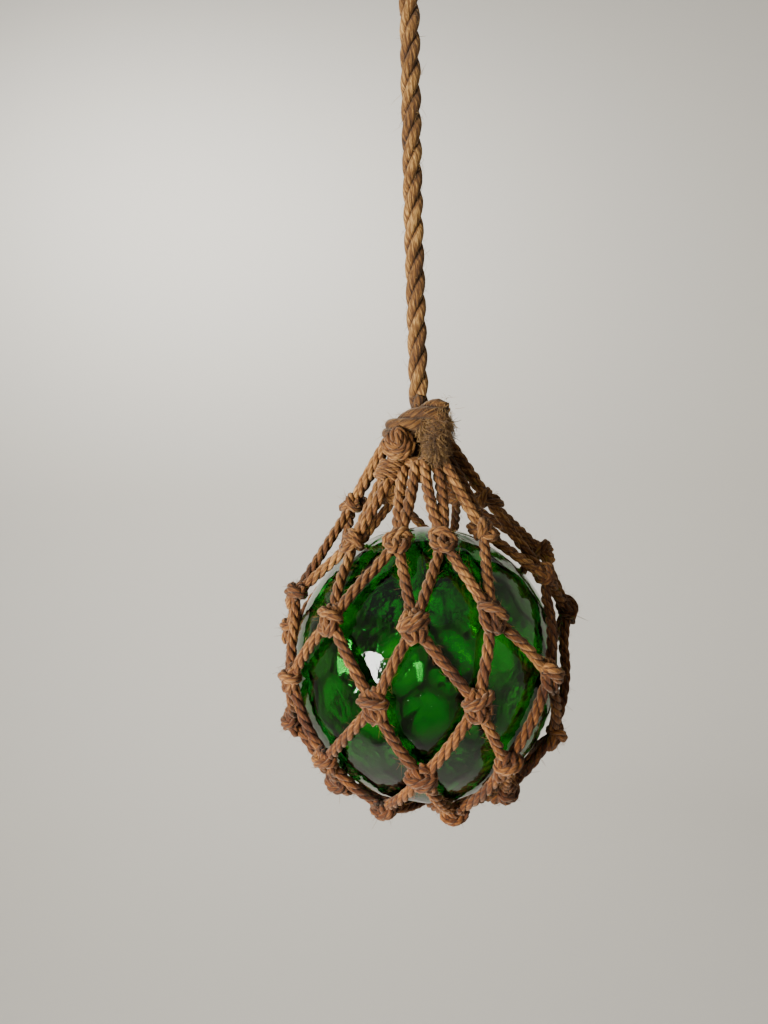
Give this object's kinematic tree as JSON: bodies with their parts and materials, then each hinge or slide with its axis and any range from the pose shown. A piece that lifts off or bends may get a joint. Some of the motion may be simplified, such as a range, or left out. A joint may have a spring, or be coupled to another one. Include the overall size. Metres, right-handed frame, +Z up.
{
  "type": "glass net float",
  "caption": "Hollow green glass ball in a knotted twine net, hung by a three-strand rope that ends in a spliced eye.",
  "frame": {"origin": "where a hook bears inside the top of the rope's eye", "axes": "+Z up along the rope, against the pull; +X to the right and -Y towards the viewer of the picture"},
  "size_m": [0.1667, 0.1601, 0.5196],
  "materials": {
    "glass_ball": "thick hand-blown sea-green glass with soft dimples",
    "net": "weathered three-strand tarred twine, hairy",
    "head_knot": "hairy natural-fibre rope, brushed out at its end",
    "hanging_rope": "three-strand laid natural-fibre rope",
    "rope_eye": "three-strand laid natural-fibre rope"
  },
  "bodies": {
    "root": {"glass_ball": "glass_ball", "net": "net", "head_knot": "head_knot", "hanging_rope": "hanging_rope", "rope_eye": "rope_eye"}
  },
  "joints": []
}
